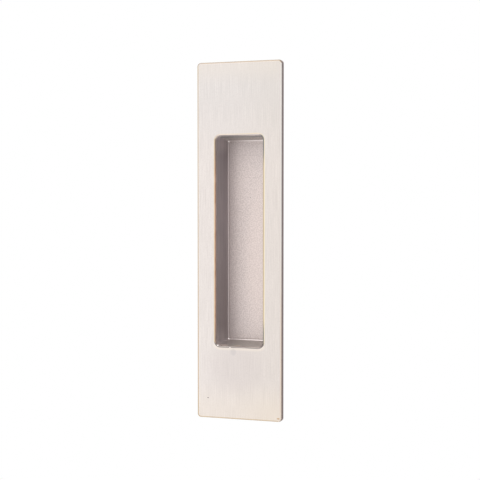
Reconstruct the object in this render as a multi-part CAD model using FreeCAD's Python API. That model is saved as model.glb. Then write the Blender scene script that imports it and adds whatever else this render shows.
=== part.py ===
import FreeCAD
import Part
import math
import os

# Pocket door pull: a long flat plate with a drafted finger recess, die cast in one piece.
#
# Millimetres. +Z runs up the length of the plate and -Y points out of the door, at the hand.
# The origin is the middle of the rim's back, which beds on the face of the door: the plate
# stands proud of it towards -Y, and the cup of the recess reaches into the door towards +Y.

# Plate
PLATE_LENGTH = 160.0
PLATE_WIDTH = 40.0
EDGE_THICKNESS = 3.0
PLATE_CORNER_RADIUS = 1.6
FACE_ARRIS_RADIUS = 0.8
BACK_ARRIS_RADIUS = 0.25

# Hollow back of the plate, inside a rim that beds on the door
SKIN = 1.8
RIM_WIDTH = 2.6
HOLLOW_CORNER_RADIUS = 1.2

# Finger recess: the mouth is measured on the face, over its rolled edge
MOUTH_LENGTH = 96.0
MOUTH_WIDTH = 24.0
MOUTH_ARRIS_RADIUS = 0.9
RECESS_DEPTH = 12.0
WALL_INSET = 1.65
WALL_CORNER_RADIUS = 2.3
FLOOR_CORNER_RADIUS = 0.75
FLOOR_FILLET_RADIUS = 0.45

# Cup that carries the recess behind the plate
CUP_WALL = 2.0
CUP_FLOOR = 2.0
CUP_BACK_RADIUS = 1.4
CUP_ROOT_RADIUS = 0.8

# Two blind tapped bosses for screws that come through the door from the other side, each
# midway between the mouth and the end of the plate
BOSS_DIAMETER = 8.0
BOSS_REACH = 6.0
BOSS_CHAMFER = 0.5
BOSS_ROOT_RADIUS = 0.8
TAP_HOLE_DIAMETER = 3.3
TAP_TIP_ANGLE = 118.0
TAP_TIP_SKIN = 1.5
TAP_MOUTH_CHAMFER = 0.4

# Ribs in the hollow back
RIB_THICKNESS = 1.6
SIDE_RIB_PITCH = 30.0
SIDE_RIB_ROWS = 3

# Worked out from the sizes above
FACE_Y = -EDGE_THICKNESS
HOLLOW_Y = FACE_Y + SKIN
BOSS_Z = (MOUTH_LENGTH + PLATE_LENGTH) / 4
LEAN = WALL_INSET / RECESS_DEPTH
# The rolled edge takes this much of the face beside each wall
ROLL_REACH = MOUTH_ARRIS_RADIUS * math.tan((math.pi / 2 - math.atan(LEAN)) / 2)
# Wall to wall, where the walls would meet the face
WALLS_LENGTH = MOUTH_LENGTH - 2 * ROLL_REACH
WALLS_WIDTH = MOUTH_WIDTH - 2 * ROLL_REACH
CUP_WALL_ACROSS = CUP_WALL * math.hypot(1.0, LEAN)
CUT_MARGIN = 1.0
TOUCH = 1e-4


def rounded_rectangle(width, length, radius, y):
    """A wire with round corners in the plane at y, centred on the Y axis."""
    half_width = width / 2
    half_length = length / 2
    diagonal = radius * (1 - math.sqrt(0.5))
    edges = []
    for sign_x, sign_z in ((1, 1), (-1, 1), (-1, -1), (1, -1)):
        on_side = FreeCAD.Vector(sign_x * half_width, y, sign_z * (half_length - radius))
        on_corner = FreeCAD.Vector(sign_x * (half_width - diagonal), y, sign_z * (half_length - diagonal))
        on_end = FreeCAD.Vector(sign_x * (half_width - radius), y, sign_z * half_length)
        # The turn runs from side to end in two of the corners and from end to side in the others
        start, finish = (on_side, on_end) if sign_x == sign_z else (on_end, on_side)
        if edges:
            edges.append(Part.LineSegment(edges[-1].lastVertex().Point, start).toShape())
        edges.append(Part.Arc(start, on_corner, finish).toShape())
    edges.append(Part.LineSegment(edges[-1].lastVertex().Point, edges[0].firstVertex().Point).toShape())
    return Part.Wire(edges)


def block(width, length, radius, y_front, y_back):
    """A straight block with rounded upright corners between two planes."""
    outline = rounded_rectangle(width, length, radius, y_front)
    return Part.Face(outline).extrude(FreeCAD.Vector(0, y_back - y_front, 0))


def tapered_block(front, back):
    """A closed block with flat walls between two outlines of the same lines and arcs."""
    walls = []
    for near, far in zip(front.Edges, back.Edges):
        if isinstance(near.Curve, Part.Line):
            corners = [far.firstVertex().Point, far.lastVertex().Point,
                       near.lastVertex().Point, near.firstVertex().Point]
            walls.append(Part.Face(Part.makePolygon(corners + corners[:1])))
        else:
            walls.append(Part.makeRuledSurface(far, near))
    shell = Part.Shell(walls + [Part.Face(front), Part.Face(back)])
    shell.sewShape()
    return Part.Solid(shell)


def edges_in_plane(shape, y, half_width, half_length):
    """The edges that lie in the plane at y and no further out than the given reach."""
    found = []
    for edge in shape.Edges:
        box = edge.BoundBox
        flat = abs(box.YMin - y) < TOUCH and abs(box.YMax - y) < TOUCH
        near = max(-box.XMin, box.XMax) < half_width + TOUCH and max(-box.ZMin, box.ZMax) < half_length + TOUCH
        if flat and near:
            found.append(edge)
    return found


def recess_section(depth, growth=0.0):
    """The recess's outline at a depth below the face, grown outwards for the cup's outside."""
    spread = 2 * (growth - LEAN * depth)
    ease = (WALL_CORNER_RADIUS - FLOOR_CORNER_RADIUS) / RECESS_DEPTH
    radius = WALL_CORNER_RADIUS - ease * depth + growth
    return rounded_rectangle(WALLS_WIDTH + spread, WALLS_LENGTH + spread, radius, FACE_Y + depth)


def recess_space():
    """The finger space itself: leaning walls, corners that tighten and a filleted floor."""
    space = tapered_block(recess_section(-CUT_MARGIN), recess_section(RECESS_DEPTH))
    floor_edges = edges_in_plane(space, FACE_Y + RECESS_DEPTH, PLATE_WIDTH, PLATE_LENGTH)
    return space.makeFillet(FLOOR_FILLET_RADIUS, floor_edges)


def cup_body():
    """The outside of the cup, parallel to the recess's walls, with a rounded back."""
    depth = RECESS_DEPTH + CUP_FLOOR
    cup = tapered_block(recess_section(SKIN / 2, CUP_WALL_ACROSS), recess_section(depth, CUP_WALL_ACROSS))
    return cup.makeFillet(CUP_BACK_RADIUS, edges_in_plane(cup, FACE_Y + depth, PLATE_WIDTH, PLATE_LENGTH))


def plate_body():
    """The plate with its rounded arrises and the hollow in its back."""
    plate = block(PLATE_WIDTH, PLATE_LENGTH, PLATE_CORNER_RADIUS, FACE_Y, 0)
    plate = plate.makeFillet(FACE_ARRIS_RADIUS, edges_in_plane(plate, FACE_Y, PLATE_WIDTH, PLATE_LENGTH))
    plate = plate.makeFillet(BACK_ARRIS_RADIUS, edges_in_plane(plate, 0, PLATE_WIDTH, PLATE_LENGTH))
    hollow_width = PLATE_WIDTH - 2 * RIM_WIDTH
    hollow_length = PLATE_LENGTH - 2 * RIM_WIDTH
    return plate.cut(block(hollow_width, hollow_length, HOLLOW_CORNER_RADIUS, HOLLOW_Y, CUT_MARGIN))


def boss(z):
    """One round boss, with a chamfered end, rising from inside the skin."""
    foot_y = HOLLOW_Y - SKIN / 2
    foot = FreeCAD.Vector(0, foot_y, z)
    cylinder = Part.makeCylinder(BOSS_DIAMETER / 2, BOSS_REACH - foot_y, foot, FreeCAD.Vector(0, 1, 0))
    end_edges = [edge for edge in cylinder.Edges if abs(edge.BoundBox.YMin - BOSS_REACH) < TOUCH]
    return cylinder.makeChamfer(BOSS_CHAMFER, end_edges)


def tap_hole(z):
    """A blind hole of tapping size with a chamfered mouth and the cone that a drill leaves."""
    radius = TAP_HOLE_DIAMETER / 2
    tip_y = FACE_Y + TAP_TIP_SKIN
    shoulder_y = tip_y + radius / math.tan(math.radians(TAP_TIP_ANGLE / 2))
    chamfer_y = BOSS_REACH - TAP_MOUTH_CHAMFER
    mouth_y = BOSS_REACH + CUT_MARGIN
    mouth_radius = radius + TAP_MOUTH_CHAMFER + CUT_MARGIN
    profile = ((0, tip_y), (radius, shoulder_y), (radius, chamfer_y), (mouth_radius, mouth_y), (0, mouth_y))
    points = [FreeCAD.Vector(x, y, z) for x, y in profile]
    half_section = Part.Face(Part.makePolygon(points + points[:1]))
    return half_section.revolve(FreeCAD.Vector(0, 0, z), FreeCAD.Vector(0, 1, 0), 360)


def rib(x_low, x_high, z_low, z_high):
    """One rib in the hollow back, level with the rim."""
    foot_y = HOLLOW_Y - SKIN / 2
    corner = FreeCAD.Vector(x_low, foot_y, z_low)
    return Part.makeBox(x_high - x_low, -foot_y, z_high - z_low, corner)


def ribs():
    """Ribs from the cup's long sides to the rim, and a cross of ribs through each boss."""
    half_rib = RIB_THICKNESS / 2
    rim_x = (PLATE_WIDTH - RIM_WIDTH) / 2
    rim_z = (PLATE_LENGTH - RIM_WIDTH) / 2
    cup_x = (WALLS_WIDTH + CUP_WALL) / 2
    cup_z = (WALLS_LENGTH + CUP_WALL) / 2
    made = []
    for row in range(SIDE_RIB_ROWS):
        z = (row - (SIDE_RIB_ROWS - 1) / 2) * SIDE_RIB_PITCH
        made.append(rib(cup_x, rim_x, z - half_rib, z + half_rib))
        made.append(rib(-rim_x, -cup_x, z - half_rib, z + half_rib))
    for side in (-1, 1):
        made.append(rib(-rim_x, rim_x, side * BOSS_Z - half_rib, side * BOSS_Z + half_rib))
        z_low, z_high = sorted((side * cup_z, side * rim_z))
        made.append(rib(-half_rib, half_rib, z_low, z_high))
    return made


def pull_body():
    """The whole casting."""
    casting = plate_body().fuse(cup_body()).removeSplitter()
    cup_root = edges_in_plane(casting, HOLLOW_Y, WALLS_WIDTH / 2 + CUP_WALL_ACROSS,
                              WALLS_LENGTH / 2 + CUP_WALL_ACROSS)
    casting = casting.makeFillet(CUP_ROOT_RADIUS, cup_root)
    casting = casting.fuse([boss(-BOSS_Z), boss(BOSS_Z)])
    boss_roots = [edge for edge in edges_in_plane(casting, HOLLOW_Y, BOSS_DIAMETER / 2, PLATE_LENGTH / 2)
                  if isinstance(edge.Curve, Part.Circle) and abs(edge.Curve.Radius - BOSS_DIAMETER / 2) < TOUCH]
    casting = casting.makeFillet(BOSS_ROOT_RADIUS, boss_roots)
    casting = casting.fuse(ribs()).removeSplitter()
    casting = casting.cut(recess_space())
    mouth = edges_in_plane(casting, FACE_Y, WALLS_WIDTH / 2, WALLS_LENGTH / 2)
    casting = casting.makeFillet(MOUTH_ARRIS_RADIUS, mouth)
    return casting.cut([tap_hole(-BOSS_Z), tap_hole(BOSS_Z)])


def main():
    os.makedirs("parts", exist_ok=True)
    body = pull_body()
    print("pull_body: solids", len(body.Solids), "valid", body.isValid(),
          "faces", len(body.Faces), "volume mm3", round(body.Volume, 1))
    body.exportStep("parts/pull_body.step")


main()
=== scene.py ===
import math

import bpy
import numpy as np
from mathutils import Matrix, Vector


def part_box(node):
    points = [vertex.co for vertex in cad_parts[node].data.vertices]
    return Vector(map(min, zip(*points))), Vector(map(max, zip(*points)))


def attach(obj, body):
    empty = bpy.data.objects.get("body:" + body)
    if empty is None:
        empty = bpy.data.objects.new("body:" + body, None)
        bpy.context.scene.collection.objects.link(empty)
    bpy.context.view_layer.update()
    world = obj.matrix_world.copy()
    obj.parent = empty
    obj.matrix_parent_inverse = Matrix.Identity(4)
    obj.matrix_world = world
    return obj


# Pocket door pull, a nickel plated casting: its brushed face, worn edges, blasted recess and cast
# back, with the studio and the camera. Lengths are metres, and values named _MM are millimetres.

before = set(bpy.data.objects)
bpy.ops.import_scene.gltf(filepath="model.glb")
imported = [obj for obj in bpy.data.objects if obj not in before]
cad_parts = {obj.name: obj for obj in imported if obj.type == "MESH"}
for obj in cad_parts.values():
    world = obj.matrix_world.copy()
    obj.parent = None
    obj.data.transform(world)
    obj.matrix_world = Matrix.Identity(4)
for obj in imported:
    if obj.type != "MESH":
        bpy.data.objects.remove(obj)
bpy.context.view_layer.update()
body_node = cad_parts["pull_body"]
body_low, body_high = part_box("pull_body")

MM = 0.001

# Places on the casting that the finishes follow
HALF_WIDTH_MM = body_high.x / MM
HALF_LENGTH_MM = body_high.z / MM
FACE_Y_MM = body_low.y / MM
BACK_FROM_FACE_MM = 1.5
PLATE_CORNER_RADIUS_MM = 1.6
ROLL_DEPTH_MM = 0.9
ROLL_REACH_MM = 0.785
WALL_CORNER_RADIUS_MM = 2.3
WALL_HALF_WIDTH_MM = 11.215
WALL_HALF_LENGTH_MM = 47.215
RECESS_DEPTH_MM = 12.0
WALL_INSET_MM = 1.65
FLOOR_CORNER_RADIUS_MM = 0.75
FLOOR_FILLET_MM = 0.45
FLOOR_Y_MM = FACE_Y_MM + RECESS_DEPTH_MM
FLOOR_HALF_WIDTH_MM = WALL_HALF_WIDTH_MM - WALL_INSET_MM
FLOOR_HALF_LENGTH_MM = WALL_HALF_LENGTH_MM - WALL_INSET_MM
CUP_SKIN_MM = 1.0
BOSS_Z_MM = 64.0
TAP_RADIUS_MM = 1.65
THREAD_PITCH_MM = 0.7

# Grain of the blasted floor, modelled as a skin over it
GRAIN_STEP_MM = 0.155
GRAIN_SIZE_MM = 0.75
GRAIN_SIZE_SPREAD = 0.5
GRAIN_HEIGHT_MM = 0.026
GRAIN_FLATTENING = 1.5
GRAIN_LIMIT = 1.6
GRAIN_SKIN_MM = 0.1
GRAIN_LIFT_MM = 0.002
GRAIN_MARGIN_MM = 0.1
GRAIN_FADE_MM = 0.4
GRAIN_SEED = 11

# Fine texture: grains to the millimetre along each axis, and how deep each texture looks
STREAKS_PER_MM = (5.0, 5.0, 0.08)
DRAWN_PER_MM = (1.3, 1.3, 0.06)
PATCHES_PER_MM = (0.45, 0.45, 0.2)
GRAINS_PER_MM = (1.8, 1.8, 1.8)
CAST_PER_MM = (0.9, 0.9, 0.9)
STREAK_RELIEF_MM = 0.02
GRAIN_RELIEF_MM = 0.05
CAST_RELIEF_MM = 0.08
THREAD_RELIEF_MM = 0.35

# Roughness of each part of the casting
BRUSHED_ROUGHNESS = (0.30, 0.38)
CAST_ROUGHNESS = (0.42, 0.55)
WALL_ROUGHNESS = 0.85
END_WALL_ROUGHNESS = 0.6
FLOOR_ROUGHNESS = 0.46
WORN_ROUGHNESS = 0.34

# Marks that the photograph shows, with painted glints, painted highlight streaks and a painted glow among
# them: middle across and up, and half sizes
FACE_SPECK_MM = ((-14.8, -70.9), (0.42, 0.23))
LIP_NICK_MM = ((-4.3, -47.9), (0.5, 0.40))
LIP_GLINT_MM = ((-10.15, -47.0), (0.45, 0.36))
LIP_SMUDGE_MM = ((-2.7, -49.8), (1.6, 2.0))
LIP_HIGHLIGHT_STREAK_LEFT_MM = ((-7.5, -47.04), (2.4, 0.21))
LIP_HIGHLIGHT_STREAK_RIGHT_MM = ((-1.4, -47.0), (1.7, 0.22))
CORNER_SCRATCH_MM = ((18.5, -78.5), (0.85, 0.38))
FLOOR_SPECK_MM = ((1.3, 19.6), (0.3, 0.25))
FLOOR_GLINT_HIGH_MM = ((-9.05, 45.1), (0.4, 0.45))
FLOOR_GLINT_LOW_MM = ((-9.2, -45.2), (0.35, 0.35))
FLOOR_PAINTED_GLOW_MM = ((7.0, -12.0), (10.0, 46.0))
DULL_PATCH_MM = ((-1.0, -57.0), (17.0, 16.0))

# Stretches over which a finish, a painted light or a painted shade sets in, from none to full: across in
# _X_MM, up in _Z_MM
FACE_RIGHT_X_MM = (-8.0, 22.0)
FACE_LEFT_X_MM = (-5.0, -20.0)
FACE_LEFT_Z_MM = (40.0, -60.0)
FACE_HIGH_Z_MM = (30.0, 72.0)
FACE_TOP_END_Z_MM = (68.0, 79.0)
FACE_LOW_END_Z_MM = (-60.0, -78.0)
BELOW_MOUTH_Z_MM = (-46.0, -47.5)
SIDE_RIGHT_X_MM = (16.0, 19.0)
EDGES_LOW_Z_MM = (10.0, -50.0)
RIM_TOP_LEFT_X_MM = (5.0, -15.0)
RIM_CORNERS_Z_MM = (66.0, 77.0)
LIP_RIGHT_X_MM = (0.0, 8.0)
LIP_ACROSS_X_MM = (-8.0, 8.0)
LIP_LOW_Z_MM = (-45.5, -47.0)
COPPER_ENDS_Z_MM = (46.6, 45.2)
COPPER_DULL_HIGH_Z_MM = (28.0, 44.0)
COPPER_DULL_LOW_Z_MM = (-36.0, -44.0)
SLATE_HIGH_Z_MM = (32.0, 42.0)
SLATE_LOW_Z_MM = (-34.0, -41.0)
FLOOR_HIGH_X_MM = (-1.0, 8.0)
FLOOR_HIGH_Z_MM = (26.0, 46.0)
FLOOR_LOW_X_MM = (-8.0, 2.0)
FLOOR_LOW_Z_MM = (-20.0, -44.0)
FLOOR_LEFT_X_MM = (-3.0, -8.0)
FLOOR_LEFT_HIGHLIGHT_X_MM = (-8.2, -8.7)
FLOOR_TOP_HIGHLIGHT_X_MM = (-4.0, 2.0)
FLOOR_TOP_HIGHLIGHT_Z_MM = (44.2, 45.0)
FILLET_HIGH_Z_MM = (-5.0, 5.0)
WALLS_LOW_Z_MM = (5.0, -30.0)
WALLS_TOP_END_Z_MM = (37.5, 44.0)
WALLS_LOW_END_Z_MM = (-38.0, -45.0)
SILL_RIGHT_X_MM = (-9.0, -3.0)

# The same for distances outwards from an outline or an axis, and for depths behind the face
SIDE_GAP_MM = (-0.4, -0.1)
RIM_GAP_MM = (2.0, 3.0)
BELOW_MOUTH_GAP_MM = (2.2, 1.2)
FILLET_GAP_MM = (-FLOOR_FILLET_MM - 0.1, -FLOOR_FILLET_MM + 0.05)
LIP_GAP_MM = (ROLL_REACH_MM, ROLL_REACH_MM - 0.2)
CUP_GAP_MM = (CUP_SKIN_MM, 0.8 * CUP_SKIN_MM)
TAPPED_RADIUS_MM = (TAP_RADIUS_MM + 0.08, TAP_RADIUS_MM + 0.03)
ROLL_DEPTHS_MM = (ROLL_DEPTH_MM, 0.6 * ROLL_DEPTH_MM)
BACK_DEPTHS_MM = (BACK_FROM_FACE_MM - 0.1, BACK_FROM_FACE_MM + 0.1)
RECESS_FRONT_DEPTHS_MM = (0.5, 1.2)
FILLET_DEPTHS_MM = (RECESS_DEPTH_MM - 0.5, RECESS_DEPTH_MM - 0.3)
RECESS_END_DEPTHS_MM = (RECESS_DEPTH_MM + 1.0, RECESS_DEPTH_MM + 0.8)

# How much narrower the lip's wear is on the right, and along the bottom from left to right
LIP_RIGHT_SHIFT_MM = -0.12
LIP_LOW_SHIFT_MM = (-0.03, 0.14)

# Colours of the brushed face and the plate's sides
FACE_STREAK_DARK = (0.785, 0.741, 0.71, 1)
FACE_STREAK_LIGHT = (0.925, 0.874, 0.837, 1)
FACE_FLECK = (0.775, 0.73, 0.697, 1)
FACE_RIGHT_SHADE = (0.76, 0.70, 0.61, 1)
FACE_LEFT_LIGHT = (0.95, 0.91, 0.88, 1)
FACE_HIGH_SHADE = (0.59, 0.63, 0.64, 1)
FACE_DULL = (0.70, 0.64, 0.62, 1)
FACE_TOP_END = (0.97, 0.86, 0.71, 1)
FACE_LOW_END = (0.97, 0.86, 0.70, 1)
FACE_BELOW_MOUTH_HIGHLIGHT = (0.97, 0.88, 0.78, 1)
SIDE_DARK = (0.62, 0.58, 0.55, 1)
SIDE_PINK_REFLECTION = (1.0, 0.79, 0.77, 1)

# Colours of the plate's worn rim
RIM_GOLD = (0.75, 0.63, 0.46, 1)
RIM_GOLD_WORN = (0.71, 0.58, 0.41, 1)
RIM_BOTTOM = (0.755, 0.605, 0.445, 1)
RIM_RIGHT_HIGHLIGHT_HIGH = (1.0, 0.97, 0.91, 1)
RIM_RIGHT_HIGHLIGHT_LOW = (0.95, 0.83, 0.71, 1)
RIM_LEFT_HIGH = (0.625, 0.49, 0.325, 1)
RIM_LEFT_LOW = (0.615, 0.435, 0.25, 1)
RIM_LEFT_CORNERS = (0.57, 0.42, 0.215, 1)
RIM_TOP_FRONT_SHADE = (0.47, 0.39, 0.305, 1)
RIM_TOP_ABOVE_SHADE = (0.40, 0.335, 0.26, 1)
RIM_TOP_WORN = (0.36, 0.32, 0.29, 1)

# Colours of the worn lip round the mouth
LIP_OUTER = (0.94, 0.82, 0.53, 1)
LIP_INNER = (0.48, 0.345, 0.305, 1)
LIP_UPPER_HIGHLIGHT = (0.90, 0.80, 0.69, 1)
LIP_UPPER_INNER_HIGHLIGHT = (1.0, 0.97, 0.95, 1)
LIP_SLATE_REFLECTION = (0.22, 0.25, 0.28, 1)
LIP_LOWER_SHADE = (0.42, 0.38, 0.355, 1)
LIP_LOWER_INNER_SHADE = (0.25, 0.225, 0.21, 1)
COPPER = (0.83, 0.57, 0.425, 1)
COPPER_WORN = (0.71, 0.44, 0.305, 1)
COPPER_DULL = (0.50, 0.41, 0.34, 1)

# Colours of the recess: floor, side walls, ceiling and sill
FLOOR_GRAIN_DARK = (0.67, 0.597, 0.57, 1)
FLOOR_GRAIN_LIGHT = (0.852, 0.770, 0.741, 1)
FLOOR_PAINTED_GLOW = (0.97, 0.84, 0.77, 1)
FLOOR_SHADE = (0.36, 0.33, 0.34, 1)
FLOOR_LEFT_HIGHLIGHT = (0.97, 0.90, 0.87, 1)
FLOOR_TOP_HIGHLIGHT = (0.98, 0.92, 0.90, 1)
FILLET_LEFT_SHADE = (0.33, 0.30, 0.30, 1)
FILLET_HIGHLIGHT_TOP = (0.90, 0.85, 0.83, 1)
FILLET_HIGHLIGHT_BOTTOM = (0.80, 0.75, 0.73, 1)
WALL_FRONT = (0.535, 0.48, 0.483, 1)
WALL_INNER_SHADE = (0.475, 0.428, 0.435, 1)
WALL_LOW = (0.345, 0.287, 0.26, 1)
WALL_LIT = (0.66, 0.60, 0.60, 1)
WALL_LOW_CORNER_SHADE = (0.28, 0.26, 0.26, 1)
WALL_DRAWN = (0.38, 0.35, 0.35, 1)
CEILING = (0.74, 0.71, 0.67, 1)
CEILING_SLATE_REFLECTION = (0.52, 0.54, 0.55, 1)
CEILING_FRONT_HIGHLIGHT = (1.0, 0.96, 0.93, 1)
SILL_LEFT = (0.565, 0.515, 0.50, 1)
SILL_RIGHT = (0.50, 0.475, 0.445, 1)

# Colours of the cast back and the threads
CAST_DARK = (0.54, 0.51, 0.49, 1)
CAST_LIGHT = (0.62, 0.59, 0.57, 1)
CAST_FLECK = (0.42, 0.40, 0.385, 1)
THREAD_GROOVE_SHADE = (0.20, 0.19, 0.18, 1)

# Colours of the marks
SMUDGE = (0.60, 0.58, 0.58, 1)
SCRATCH = (0.66, 0.44, 0.24, 1)
HIGHLIGHT_STREAK_LEFT = (0.97, 0.86, 0.79, 1)
HIGHLIGHT_STREAK_RIGHT = (0.66, 0.57, 0.47, 1)
NICK = (0.85, 0.81, 0.78, 1)
GLINT = (1.0, 0.97, 0.95, 1)
SPECK = (0.10, 0.08, 0.09, 1)

# Camera, worked out from the straight edges in the photograph
FRAME_PIXELS = 480
FOCAL_PIXELS = 1150
SENSOR_MM = 36.0
CAMERA_CLIP_START = 0.01
CAMERA_AZIMUTH = 19.6
CAMERA_ELEVATION = 1.74
CAMERA_DISTANCE = 0.5127
CAMERA_TARGET = Vector((0.00053, body_low.y, 0.00054))

# The light is a white tent. Each stop is an azimuth from the front rightwards, and how bright it is
TENT_STOPS = ((-180, 0.50), (-161, 0.55), (-90, 0.70), (-60, 0.84), (-42, 0.90), (-30, 0.82), (-19, 0.73),
              (0, 0.66), (20, 0.64), (45, 0.68), (66, 0.66), (80, 0.36), (105, 0.20), (140, 0.15),
              (165, 0.15), (180, 0.50))
TENT_WHITE = (1.0, 0.99, 0.98)
TENT_DARK = (1.0, 0.93, 0.95)
TENT_STRENGTH = 1.3

# How much brighter the tent gets upwards, and from what height on a sphere of radius 1
TENT_RISE = 1.2
TENT_RISE_FROM = 0.15

# The plain surroundings that the camera sees
BACKDROP = (1, 1, 1, 1)
STUDIO_FLOOR_RADIUS = 12.0
STUDIO_FLOOR_Z = -0.3
STUDIO_FLOOR_SIDES = 96


class Nodes:
    """Short ways to add and join the nodes of one material or world. The functions below call it n."""

    def __init__(self, tree):
        self.tree = tree
        tree.nodes.clear()

    def add(self, kind, inputs=(), **settings):
        node = self.tree.nodes.new(kind)
        for name, value in settings.items():
            setattr(node, name, value)
        for name, value in dict(inputs).items():
            self.give(node.inputs[name], value)
        return node

    def give(self, socket, value):
        if isinstance(value, bpy.types.NodeSocket):
            self.tree.links.new(value, socket)
        else:
            socket.default_value = value

    def math(self, operation, first, second=0.0, third=0.0):
        node = self.add("ShaderNodeMath", operation=operation)
        self.give(node.inputs[0], first)
        self.give(node.inputs[1], second)
        self.give(node.inputs[2], third)
        return node.outputs[0]

    def both(self, *masks):
        """Where all the masks hold. A number among them weakens the rest."""
        product = masks[0]
        for mask in masks[1:]:
            product = self.math("MULTIPLY", product, mask)
        return product

    def either(self, first, *others):
        """Where any of the masks holds."""
        largest = first
        for mask in others:
            largest = self.math("MAXIMUM", largest, mask)
        return largest

    def outside(self, mask):
        return self.math("SUBTRACT", 1.0, mask)

    def ramp(self, value, low, high):
        """0 at low and 1 at high, with a smooth step between, whichever of them is larger."""
        falls = low > high
        inputs = {"Value": value, "From Min": min(low, high), "From Max": max(low, high),
                  "To Min": float(falls), "To Max": float(not falls)}
        return self.add("ShaderNodeMapRange", inputs, interpolation_type="SMOOTHSTEP").outputs["Result"]

    def mix(self, amount, first, second):
        """A colour that goes from the first to the second."""
        node = self.add("ShaderNodeMix", data_type="RGBA")
        self.give(node.inputs[0], amount)
        self.give(node.inputs[6], first)
        self.give(node.inputs[7], second)
        return node.outputs[2]

    def blend(self, amount, first, second):
        """A number that goes from the first to the second."""
        node = self.add("ShaderNodeMix", data_type="FLOAT")
        self.give(node.inputs[0], amount)
        self.give(node.inputs[2], first)
        self.give(node.inputs[3], second)
        return node.outputs[0]

    def noise(self, place, per_mm, detail=2.0, roughness=0.5):
        """Noise with so many grains to the millimetre along each axis."""
        scaled = self.add("ShaderNodeVectorMath", {0: place, 1: per_mm}, operation="MULTIPLY")
        inputs = {"Vector": scaled.outputs[0], "Scale": 1.0, "Detail": detail, "Roughness": roughness}
        return self.add("ShaderNodeTexNoise", inputs).outputs["Fac"]

    def relief(self, height, strength, depth_mm, below=None):
        """The normal of a fine relief, over another one if that is given."""
        inputs = {"Strength": strength, "Distance": depth_mm * MM, "Height": height}
        if below is not None:
            inputs["Normal"] = below
        return self.add("ShaderNodeBump", inputs).outputs[0]


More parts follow.
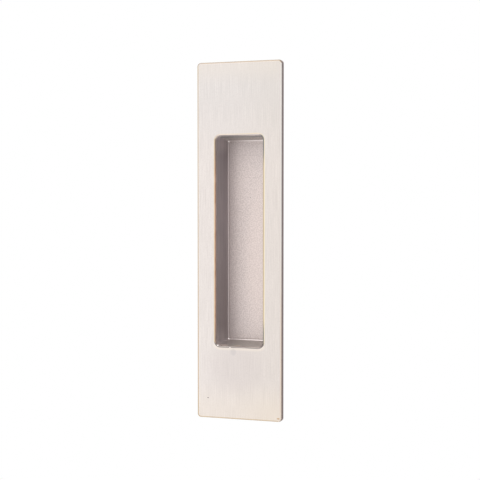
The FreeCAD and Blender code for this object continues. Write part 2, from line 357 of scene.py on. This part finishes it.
class Places:
    """Where a point of the casting lies, in millimetres, which way its surface leans, and the zones
    that the finishes follow, each 0 to 1. The functions below call it p."""

    def __init__(self, n):
        self.n = n
        coordinates = n.add("ShaderNodeTexCoord")
        scaled = n.add("ShaderNodeVectorMath", {0: coordinates.outputs["Object"], "Scale": 1 / MM},
                       operation="SCALE")
        self.place = scaled.outputs[0]
        self.x, self.y, self.z = n.add("ShaderNodeSeparateXYZ", {0: self.place}).outputs
        self.across = n.math("ABSOLUTE", self.x)
        self.along = n.math("ABSOLUTE", self.z)
        self.depth = n.math("SUBTRACT", self.y, FACE_Y_MM)
        self.deep = n.ramp(self.depth, 0.0, RECESS_DEPTH_MM)
        normal = n.add("ShaderNodeSeparateXYZ", {0: coordinates.outputs["Normal"]})
        self.lean_x = normal.outputs[0]
        self.lean_z = normal.outputs[2]
        self.facing = n.math("ABSOLUTE", normal.outputs[1])
        self.upright = n.math("ABSOLUTE", self.lean_z)
        self.wall_gap = self.gap(WALL_HALF_WIDTH_MM, WALL_HALF_LENGTH_MM, WALL_CORNER_RADIUS_MM)
        self.find_edges()
        self.find_recess()
        self.find_back()

    def gap(self, half_width, half_length, radius):
        """Distance outwards from a rounded oblong, down to minus its radius inside."""
        n = self.n
        out_x = n.math("MAXIMUM", n.math("SUBTRACT", self.across, half_width - radius), 0.0)
        out_z = n.math("MAXIMUM", n.math("SUBTRACT", self.along, half_length - radius), 0.0)
        squares = n.math("ADD", n.math("MULTIPLY", out_x, out_x), n.math("MULTIPLY", out_z, out_z))
        return n.math("SUBTRACT", n.math("SQRT", squares), radius)

    def find_edges(self):
        """The worn lip round the mouth, the rim and the sides of the plate, and the face below the mouth."""
        n = self.n
        near_face = n.ramp(self.depth, *ROLL_DEPTHS_MM)
        worn = n.math("MULTIPLY_ADD", n.ramp(self.x, *LIP_RIGHT_X_MM), LIP_RIGHT_SHIFT_MM, self.wall_gap)
        low_shift = n.blend(n.ramp(self.x, *LIP_ACROSS_X_MM), *LIP_LOW_SHIFT_MM)
        low_shift = n.both(n.ramp(self.z, *LIP_LOW_Z_MM), low_shift)
        worn = n.math("ADD", low_shift, worn)
        self.lip = n.both(near_face, n.ramp(worn, *LIP_GAP_MM))
        self.rim = n.both(near_face, n.ramp(self.facing, 0.998, 0.95), n.ramp(self.wall_gap, *RIM_GAP_MM))
        edge_gap = self.gap(HALF_WIDTH_MM, HALF_LENGTH_MM, PLATE_CORNER_RADIUS_MM)
        self.side = n.ramp(edge_gap, *SIDE_GAP_MM)
        close_below = n.ramp(self.wall_gap, *BELOW_MOUTH_GAP_MM)
        self.below_mouth = n.both(n.ramp(self.z, *BELOW_MOUTH_Z_MM), close_below)

    def find_recess(self):
        """The inside of the recess, its floor, the fillets along the floor's ends, and its end walls."""
        n = self.n
        inset = WALL_INSET_MM / RECESS_DEPTH_MM
        skin_gap = n.math("MULTIPLY_ADD", self.depth, inset, self.wall_gap)
        self.recess = n.both(n.ramp(skin_gap, *CUP_GAP_MM), n.ramp(self.depth, *RECESS_FRONT_DEPTHS_MM),
                             n.ramp(self.depth, *RECESS_END_DEPTHS_MM))
        floor_gap = self.gap(FLOOR_HALF_WIDTH_MM, FLOOR_HALF_LENGTH_MM, FLOOR_CORNER_RADIUS_MM)
        self.fillet = n.both(self.recess, n.ramp(self.depth, *FILLET_DEPTHS_MM),
                             n.ramp(floor_gap, *FILLET_GAP_MM), n.ramp(self.upright, 0.02, 0.2))
        self.floor = n.both(self.recess, n.ramp(self.facing, 0.35, 0.60))
        self.end_wall = n.ramp(self.upright, 0.7, 0.97)
        self.low_corner = n.both(n.ramp(self.lean_z, 0.15, 0.45), n.ramp(self.lean_z, 0.98, 0.85))

    def find_back(self):
        """The back of the plate and the cup, and the tapped holes in its two bosses."""
        n = self.n
        self.back = n.both(n.ramp(self.depth, *BACK_DEPTHS_MM), n.outside(self.recess), n.outside(self.side))
        self.from_boss = n.math("SUBTRACT", self.along, BOSS_Z_MM)
        squares = n.math("ADD", n.math("POWER", self.x, 2.0), n.math("POWER", self.from_boss, 2.0))
        self.tapped = n.both(n.ramp(n.math("SQRT", squares), *TAPPED_RADIUS_MM), self.back)

    def spot(self, mark, core=0.25):
        """A soft spot at one place across and up, of the given half sizes. A smaller core is softer."""
        (across, up), (half_across, half_up) = mark
        n = self.n
        out_x = n.math("DIVIDE", n.math("SUBTRACT", self.x, across), half_across)
        out_z = n.math("DIVIDE", n.math("SUBTRACT", self.z, up), half_up)
        squares = n.math("ADD", n.math("MULTIPLY", out_x, out_x), n.math("MULTIPLY", out_z, out_z))
        return n.ramp(squares, 1.0, core)


# Finishes, some of them painted light and shade. A bare number in them is a share: of strength, noise, lean
# or the recess's depth

def face_colour(n, p, streak, grain):
    """Brushed nickel plate: fine upright streaks, greyer painted shade high up, darker and warmer painted
    shade to the right, painted light low on the left, warmer at both ends and a painted highlight below the
    mouth.
    """
    colour = n.mix(n.ramp(streak, 0.28, 0.72), FACE_STREAK_DARK, FACE_STREAK_LIGHT)
    colour = n.mix(n.both(n.ramp(grain, 0.45, 0.70), 0.5), colour, FACE_FLECK)
    right = n.ramp(p.x, *FACE_RIGHT_X_MM)
    # Painted shade: the face darker to the right, and warmer there.
    colour = n.mix(n.both(right, 0.25), colour, FACE_RIGHT_SHADE)
    # Painted shade: the face greyer and darker high up.
    colour = n.mix(n.both(n.ramp(p.z, *FACE_HIGH_Z_MM), 0.2), colour, FACE_HIGH_SHADE)
    # Painted light: the face lighter low on the left.
    low_left = n.both(n.ramp(p.x, *FACE_LEFT_X_MM), n.ramp(p.z, *FACE_LEFT_Z_MM))
    colour = n.mix(n.both(low_left, 0.2), colour, FACE_LEFT_LIGHT)
    colour = n.mix(n.both(p.spot(DULL_PATCH_MM, core=0.0), 0.32), colour, FACE_DULL)
    colour = n.mix(n.both(n.ramp(p.z, *FACE_TOP_END_Z_MM), 0.18), colour, FACE_TOP_END)
    low_end = n.both(n.ramp(p.z, *FACE_LOW_END_Z_MM), n.blend(right, 0.25, 0.42))
    colour = n.mix(low_end, colour, FACE_LOW_END)
    # Painted highlight: a cream band on the face just below the mouth.
    colour = n.mix(n.both(p.below_mouth, 0.6), colour, FACE_BELOW_MOUTH_HIGHLIGHT)
    # Painted reflection: the plate's right side tinted pink.
    side = n.mix(n.ramp(p.x, *SIDE_RIGHT_X_MM), SIDE_DARK, SIDE_PINK_REFLECTION)
    return n.mix(n.both(p.side, 0.6), colour, side)


def rim_colour(n, p, worn):
    """The plate's outer rim, its plating worn to gold and tan, with painted shade along its top and a painted
    highlight on its right.
    """
    low = n.ramp(p.z, *EDGES_LOW_Z_MM)
    # Painted shade: the top of the rim darker, most where it faces up.
    top = n.mix(n.ramp(p.lean_z, 0.1, 0.8), RIM_TOP_FRONT_SHADE, RIM_TOP_ABOVE_SHADE)
    top = n.mix(n.both(worn, n.ramp(p.x, *RIM_TOP_LEFT_X_MM), 0.6), top, RIM_TOP_WORN)
    left = n.mix(low, RIM_LEFT_HIGH, RIM_LEFT_LOW)
    left = n.mix(n.both(n.ramp(p.along, *RIM_CORNERS_Z_MM), 0.6), left, RIM_LEFT_CORNERS)
    # Painted highlight: the right of the rim near white, brightest high up.
    right = n.mix(low, RIM_RIGHT_HIGHLIGHT_HIGH, RIM_RIGHT_HIGHLIGHT_LOW)
    rim = n.mix(worn, RIM_GOLD, RIM_GOLD_WORN)
    rim = n.mix(n.ramp(p.lean_z, -0.5, -0.95), rim, RIM_BOTTOM)
    rim = n.mix(n.ramp(p.lean_x, 0.0, 0.1), rim, right)
    rim = n.mix(n.ramp(p.lean_x, -0.04, -0.22), rim, left)
    return n.mix(n.ramp(p.lean_z, 0.03, 0.2), rim, top)


def lip_colour(n, p, worn):
    """The lip round the mouth: copper on the left, where fingers pull, and duller towards its ends; gold
    on the right, with a painted slate reflection at its ends; a painted highlight along the top and painted
    shade along the bottom."""
    copper = n.mix(worn, COPPER, COPPER_WORN)
    dull_high = n.both(n.ramp(p.z, *COPPER_DULL_HIGH_Z_MM), 0.9)
    dull_low = n.both(n.ramp(p.z, *COPPER_DULL_LOW_Z_MM), 0.65)
    copper = n.mix(n.math("ADD", dull_high, dull_low), copper, COPPER_DULL)
    pulled = n.both(n.ramp(p.lean_x, 0.15, 0.6), n.ramp(p.along, *COPPER_ENDS_Z_MM))
    # Painted shade: the bottom of the lip darker, darkest where it leaves the face.
    lower = n.mix(n.ramp(p.lean_z, 0.45, 0.75), LIP_LOWER_INNER_SHADE, LIP_LOWER_SHADE)

    lip = n.mix(n.ramp(p.lean_x, -0.35, -0.8), LIP_OUTER, LIP_INNER)
    # Painted highlight: the top of the lip bright, brightest where it turns under.
    lip = n.mix(n.ramp(p.lean_z, -0.05, -0.25), lip, LIP_UPPER_HIGHLIGHT)
    lip = n.mix(n.ramp(p.lean_z, -0.5, -0.8), lip, LIP_UPPER_INNER_HIGHLIGHT)
    # Painted reflection: a dark slate band where the right of the lip turns in, near its ends.
    at_ends = n.either(n.ramp(p.z, *SLATE_HIGH_Z_MM), n.both(n.ramp(p.z, *SLATE_LOW_Z_MM), 0.85))
    slate = n.both(at_ends, n.ramp(p.lean_x, -0.03, -0.45), n.ramp(p.lean_z, -0.9, -0.6))
    lip = n.mix(slate, lip, LIP_SLATE_REFLECTION)
    lip = n.mix(n.ramp(p.lean_z, 0.0, 0.12), lip, lower)
    return n.mix(pulled, lip, copper)


def recess_floor_colour(n, p, grain):
    """Blasted pinkish floor with a painted glow, painted shade at its ends and on its left, and thin painted
    highlight lines by two walls.
    """
    floor = n.mix(n.ramp(grain, 0.36, 0.64), FLOOR_GRAIN_DARK, FLOOR_GRAIN_LIGHT)
    # Painted light: a broad pinkish glow over the right of the floor.
    floor = n.mix(n.both(p.spot(FLOOR_PAINTED_GLOW_MM, core=0.0), 0.25), floor, FLOOR_PAINTED_GLOW)
    high = n.both(n.ramp(p.z, *FLOOR_HIGH_Z_MM), n.blend(n.ramp(p.x, *FLOOR_HIGH_X_MM), 0.28, 0.19))
    low = n.both(n.ramp(p.z, *FLOOR_LOW_Z_MM), n.blend(n.ramp(p.x, *FLOOR_LOW_X_MM), 0.24, 0.11))
    left = n.both(n.ramp(p.x, *FLOOR_LEFT_X_MM), 0.11)
    floor = n.mix(n.math("ADD", n.math("ADD", high, low), left), floor, FLOOR_SHADE)
    # Painted highlight: a thin bright line along the left edge of the floor.
    floor = n.mix(n.both(n.ramp(p.x, *FLOOR_LEFT_HIGHLIGHT_X_MM), 0.35), floor, FLOOR_LEFT_HIGHLIGHT)
    # Painted highlight: a bright line along the top end of the floor, mostly to the right.
    top_highlight = n.both(n.ramp(p.z, *FLOOR_TOP_HIGHLIGHT_Z_MM), n.ramp(p.x, *FLOOR_TOP_HIGHLIGHT_X_MM))
    floor = n.mix(n.both(top_highlight, 0.6), floor, FLOOR_TOP_HIGHLIGHT)
    # Painted shade: the fillet by the left wall darker.
    return n.mix(n.both(n.ramp(p.lean_x, 0.1, 0.5), 0.6), floor, FILLET_LEFT_SHADE)


def recess_wall_colour(n, p, drawn):
    """Duller walls with painted shade deeper in and in the low corners, painted light at their ends and by
    the floor, a painted highlight strip inside the top edge and a painted slate reflection behind it.
    """
    # Painted shade: the side walls darker deeper in.
    sides = n.mix(p.deep, WALL_FRONT, WALL_INNER_SHADE)
    sides = n.mix(n.both(n.ramp(p.z, *WALLS_LOW_Z_MM), 0.3), sides, WALL_LOW)
    near_top = n.both(n.ramp(p.z, *WALLS_TOP_END_Z_MM), 0.85)
    near_sill = n.both(n.ramp(p.z, *WALLS_LOW_END_Z_MM), 0.5)
    near_floor = n.both(n.ramp(p.deep, 0.955, 0.995), 0.5)
    sides = n.mix(n.either(n.math("ADD", near_top, near_sill), near_floor), sides, WALL_LIT)
    # Painted reflection: a dark slate band over the front of the ceiling.
    ceiling = n.mix(n.ramp(p.deep, 0.50, 0.25), CEILING, CEILING_SLATE_REFLECTION)
    # Painted highlight: a bright strip just inside the top edge.
    ceiling = n.mix(n.ramp(p.deep, 0.12, 0.08), ceiling, CEILING_FRONT_HIGHLIGHT)
    sill = n.mix(n.ramp(p.x, *SILL_RIGHT_X_MM), SILL_LEFT, SILL_RIGHT)
    # Painted light and shade: the ceiling, which faces down, lighter than the sill, which faces up.
    ends = n.mix(n.ramp(p.lean_z, -0.5, 0.5), ceiling, sill)
    # Painted shade: darker in the rounded corners down to the sill.
    wall = n.mix(n.both(p.low_corner, 0.15), n.mix(p.end_wall, sides, ends), WALL_LOW_CORNER_SHADE)
    return n.mix(n.both(n.ramp(drawn, 0.35, 0.65), 0.35), wall, WALL_DRAWN)


def recess_colour(n, p, grain, drawn):
    """The whole inside of the recess, with a painted highlight line where the floor meets the ends."""
    inside = n.mix(p.floor, recess_wall_colour(n, p, drawn), recess_floor_colour(n, p, grain))
    # Painted highlight: the fillets at the floor's ends near white, brighter at the top end.
    return n.mix(p.fillet, inside, n.mix(n.ramp(p.z, *FILLET_HIGH_Z_MM), FILLET_HIGHLIGHT_BOTTOM, FILLET_HIGHLIGHT_TOP))


def back_colour(n, patch, cast):
    """The unbrushed back, as cast under its thin plate."""
    colour = n.mix(n.ramp(patch, 0.3, 0.7), CAST_DARK, CAST_LIGHT)
    return n.mix(n.both(n.ramp(cast, 0.55, 0.75), 0.4), colour, CAST_FLECK)


def mark_colours(n, p, plain):
    """The small marks that the photograph shows on the face, the lip and the floor, with painted glints and
    painted highlight streaks among them.
    """
    speck = n.either(p.spot(FACE_SPECK_MM), n.both(p.spot(FLOOR_SPECK_MM), 0.5))
    lip_glint = n.both(p.spot(LIP_GLINT_MM), n.ramp(p.deep, 0.2, 0.08), 0.9)
    glint = n.either(p.spot(FLOOR_GLINT_HIGH_MM), p.spot(FLOOR_GLINT_LOW_MM), lip_glint)
    colour = n.mix(n.both(p.spot(LIP_SMUDGE_MM), 0.35), plain, SMUDGE)
    colour = n.mix(n.both(p.spot(CORNER_SCRATCH_MM), 0.9), colour, SCRATCH)
    # Painted highlights: two light streaks just inside the lower lip.
    colour = n.mix(n.both(p.spot(LIP_HIGHLIGHT_STREAK_LEFT_MM), 0.75), colour, HIGHLIGHT_STREAK_LEFT)
    colour = n.mix(n.both(p.spot(LIP_HIGHLIGHT_STREAK_RIGHT_MM), 0.45), colour, HIGHLIGHT_STREAK_RIGHT)
    colour = n.mix(n.both(p.spot(LIP_NICK_MM), p.lip), colour, NICK)
    # Painted highlights: glints in two corners of the floor and one just inside the lower left corner of the
    # mouth.
    colour = n.mix(glint, colour, GLINT)
    colour = n.mix(n.both(speck, 0.9), colour, SPECK)
    return n.mix(p.back, colour, plain)


def thread(n, p):
    """Height of the fine thread in the tapped holes, a wave that winds once round for each pitch."""
    turn = n.math("DIVIDE", n.math("ARCTAN2", p.x, p.from_boss), 2 * math.pi)
    winding = n.math("ADD", n.math("DIVIDE", p.y, THREAD_PITCH_MM), turn)
    return n.math("MULTIPLY", n.math("PINGPONG", winding, 0.5), 2.0)


def plated_casting(name):
    """The finish of the whole casting, zoned by place."""
    material = bpy.data.materials.new(name)
    material.use_nodes = True
    n = Nodes(material.node_tree)
    p = Places(n)
    streak = n.noise(p.place, STREAKS_PER_MM, roughness=0.6)
    drawn = n.noise(p.place, DRAWN_PER_MM)
    patch = n.noise(p.place, PATCHES_PER_MM, detail=3.0)
    grain = n.noise(p.place, GRAINS_PER_MM, roughness=0.7)
    cast = n.noise(p.place, CAST_PER_MM, detail=4.0, roughness=0.6)
    groove = thread(n, p)

    worn = n.ramp(patch, 0.35, 0.65)
    colour = n.mix(p.back, face_colour(n, p, streak, grain), back_colour(n, patch, cast))
    colour = n.mix(p.recess, colour, recess_colour(n, p, grain, drawn))
    colour = n.mix(p.rim, colour, rim_colour(n, p, worn))
    colour = n.mix(p.lip, colour, lip_colour(n, p, worn))
    colour = mark_colours(n, p, colour)
    # Painted shade: dark in the troughs of the thread.
    colour = n.mix(n.both(p.tapped, n.ramp(groove, 0.7, 0.2)), colour, THREAD_GROOVE_SHADE)

    inside = n.blend(p.floor, n.blend(p.end_wall, WALL_ROUGHNESS, END_WALL_ROUGHNESS), FLOOR_ROUGHNESS)
    roughness = n.blend(n.ramp(streak, 0.2, 0.8), *BRUSHED_ROUGHNESS)
    roughness = n.blend(p.recess, roughness, inside)
    roughness = n.blend(p.back, roughness, n.blend(n.ramp(cast, 0.3, 0.7), *CAST_ROUGHNESS))
    roughness = n.blend(n.either(p.lip, p.rim, p.fillet), roughness, WORN_ROUGHNESS)

    brushed = n.outside(n.either(p.back, p.recess))
    normal = n.relief(streak, n.both(brushed, 0.3), STREAK_RELIEF_MM)
    normal = n.relief(grain, n.both(p.recess, 0.5), GRAIN_RELIEF_MM, below=normal)
    normal = n.relief(cast, n.both(p.back, 0.6), CAST_RELIEF_MM, below=normal)
    normal = n.relief(groove, p.tapped, THREAD_RELIEF_MM, below=normal)
    shader = n.add("ShaderNodeBsdfPrincipled", {"Base Color": colour, "Roughness": roughness,
                                                "Metallic": 1.0, "Normal": normal})
    n.add("ShaderNodeOutputMaterial", {"Surface": shader.outputs[0]})
    return material


def grain_heights(rows, columns):
    """A random surface, -1 to 1 or so, whose bumps are all about one grain wide."""
    random = np.random.default_rng(GRAIN_SEED)
    waves = np.fft.rfft2(random.standard_normal((rows, columns)))
    upward = np.fft.fftfreq(rows, GRAIN_STEP_MM)[:, None]
    sideways = np.fft.rfftfreq(columns, GRAIN_STEP_MM)[None, :]
    pitch = np.hypot(upward, sideways)
    waves *= np.exp(-((pitch * GRAIN_SIZE_MM - 1.0) / GRAIN_SIZE_SPREAD) ** 2)
    heights = np.fft.irfft2(waves, (rows, columns))
    return np.clip(heights / (GRAIN_FLATTENING * heights.std()), -GRAIN_LIMIT, GRAIN_LIMIT)


def grain_skin():
    """Points and faces of the floor's grain: a closed skin, flat underneath and thinner at its border."""
    half_width = FLOOR_HALF_WIDTH_MM - FLOOR_FILLET_MM - GRAIN_MARGIN_MM
    half_length = FLOOR_HALF_LENGTH_MM - FLOOR_FILLET_MM - GRAIN_MARGIN_MM
    columns = round(2 * half_width / GRAIN_STEP_MM) + 1
    rows = round(2 * half_length / GRAIN_STEP_MM) + 1
    x, z = np.meshgrid(np.linspace(-half_width, half_width, columns),
                       np.linspace(-half_length, half_length, rows))
    from_edge = np.minimum(half_width - abs(x), half_length - abs(z))
    fade = np.clip(from_edge / GRAIN_FADE_MM, 0, 1)
    rise = fade * (GRAIN_SKIN_MM / 2 + GRAIN_HEIGHT_MM * grain_heights(rows, columns))
    top = np.stack([x, FLOOR_Y_MM - GRAIN_LIFT_MM - rise, z], axis=-1).reshape(-1, 3)

    index = np.arange(rows * columns).reshape(rows, columns)
    quads = np.stack([index[:-1, :-1], index[:-1, 1:], index[1:, 1:], index[1:, :-1]], axis=-1).reshape(-1, 4)
    border = np.concatenate([index[0, :-1], index[:-1, -1], index[-1, :0:-1], index[:0:-1, 0]])
    under = top[border] + (0, GRAIN_SKIN_MM, 0)
    below = len(top) + np.arange(len(border))
    skirt = np.stack([border, below, np.roll(below, -1), np.roll(border, -1)], axis=-1)
    faces = quads.tolist() + skirt.tolist() + [below[::-1].tolist()]
    return (np.concatenate([top, under]) * MM).tolist(), faces


def recess_floor_grain():
    """The blasted floor of the recess, with a real grain over the cast floor."""
    points, faces = grain_skin()
    mesh = bpy.data.meshes.new("recess_floor_grain")
    mesh.from_pydata(points, [], faces)
    mesh.validate()
    mesh.shade_smooth()
    skin = bpy.data.objects.new("recess_floor_grain", mesh)
    bpy.context.scene.collection.objects.link(skin)
    mesh.materials.append(plated_casting("blasted_floor"))
    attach(skin, "root")


def tent():
    """The light: a white tent that is dark on the right and brighter upwards. The camera sees it white."""
    scene = bpy.context.scene
    scene.view_settings.view_transform = "Standard"
    world = bpy.data.worlds.new("studio")
    scene.world = world
    world.use_nodes = True
    n = Nodes(world.node_tree)
    direction = n.add("ShaderNodeTexCoord").outputs["Generated"]
    x, y, z = n.add("ShaderNodeSeparateXYZ", {0: direction}).outputs
    azimuth = n.math("ARCTAN2", x, n.math("MULTIPLY", y, -1.0))
    colours = n.add("ShaderNodeValToRGB", {"Fac": n.math("MULTIPLY_ADD", azimuth, 0.5 / math.pi, 0.5)})
    stops = colours.color_ramp.elements
    for _ in range(len(TENT_STOPS) - len(stops)):
        stops.new(1.0)
    for stop, (angle, light) in zip(stops, TENT_STOPS):
        stop.position = angle / 360 + 0.5
        tint = np.array(TENT_DARK) + light * (np.array(TENT_WHITE) - TENT_DARK)
        stop.color = (*(light * tint), 1)
    high = n.math("MAXIMUM", n.math("SUBTRACT", z, TENT_RISE_FROM), 0.0)
    strength = n.math("MULTIPLY_ADD", high, TENT_STRENGTH * TENT_RISE, TENT_STRENGTH)
    in_view = n.add("ShaderNodeLightPath").outputs["Is Camera Ray"]
    seen = n.mix(in_view, colours.outputs["Color"], BACKDROP)
    background = n.add("ShaderNodeBackground", {"Color": seen, "Strength": n.blend(in_view, strength, 1.0)})
    n.add("ShaderNodeOutputWorld", {"Surface": background.outputs[0]})


def studio_floor():
    """A plain floor, as white as the backdrop behind it, that polished metal doesn't mirror."""
    bpy.ops.mesh.primitive_circle_add(vertices=STUDIO_FLOOR_SIDES, radius=STUDIO_FLOOR_RADIUS,
                                      fill_type="NGON", location=(0, 0, STUDIO_FLOOR_Z))
    floor = bpy.context.object
    floor.name = "floor"
    floor.visible_glossy = False
    material = bpy.data.materials.new("white_floor")
    material.use_nodes = True
    n = Nodes(material.node_tree)
    light = n.add("ShaderNodeEmission", {"Color": BACKDROP, "Strength": 1.0})
    n.add("ShaderNodeOutputMaterial", {"Surface": light.outputs[0]})
    floor.data.materials.append(material)


def camera():
    """The photograph's view."""
    data = bpy.data.cameras.new("camera")
    data.sensor_width = SENSOR_MM
    data.lens = SENSOR_MM * FOCAL_PIXELS / FRAME_PIXELS
    data.clip_start = CAMERA_CLIP_START
    item = bpy.data.objects.new("camera", data)
    bpy.context.scene.collection.objects.link(item)
    azimuth = math.radians(CAMERA_AZIMUTH)
    elevation = math.radians(CAMERA_ELEVATION)
    back = Vector((math.sin(azimuth) * math.cos(elevation), -math.cos(azimuth) * math.cos(elevation),
                   math.sin(elevation)))
    item.location = CAMERA_TARGET + back * CAMERA_DISTANCE
    item.rotation_euler = back.to_track_quat("Z", "Y").to_euler()
    bpy.context.scene.camera = item


camera()
body_node.data.materials.clear()
body_node.data.materials.append(plated_casting("plated_casting"))
recess_floor_grain()
tent()
studio_floor()
